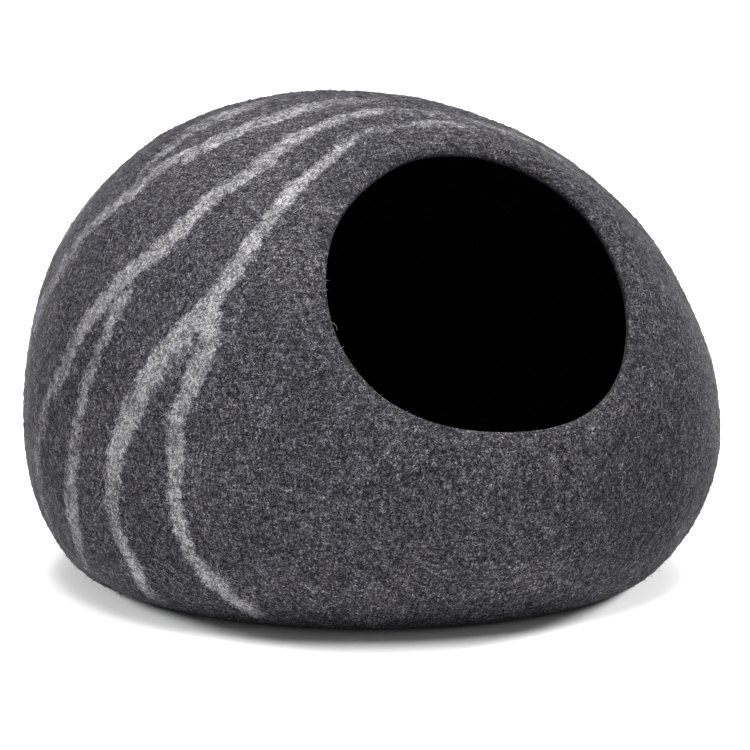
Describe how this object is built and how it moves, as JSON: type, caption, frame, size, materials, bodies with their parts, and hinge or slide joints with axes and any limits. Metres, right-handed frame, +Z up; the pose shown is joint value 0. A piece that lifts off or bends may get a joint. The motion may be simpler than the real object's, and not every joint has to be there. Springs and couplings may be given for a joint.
{
  "type": "felt cat cave",
  "caption": "Seamless hollow dome of thick dark grey wool felt, with a round mouth in its sloping front and a flat base, for a cat to curl up inside.",
  "frame": {"origin": "centre of the bounding box's bottom face, on the surface that the cave stands on", "axes": "+Z up; the mouth faces -Y and looks up from there by about 35 degrees; +X is on the right of someone looking into the mouth"},
  "size_m": [0.4644, 0.4698, 0.3199],
  "materials": {
    "felt": "matte heathered charcoal wool felt with pale grey streaks"
  },
  "bodies": {
    "root": {"felt_shell": "felt"}
  },
  "joints": []
}
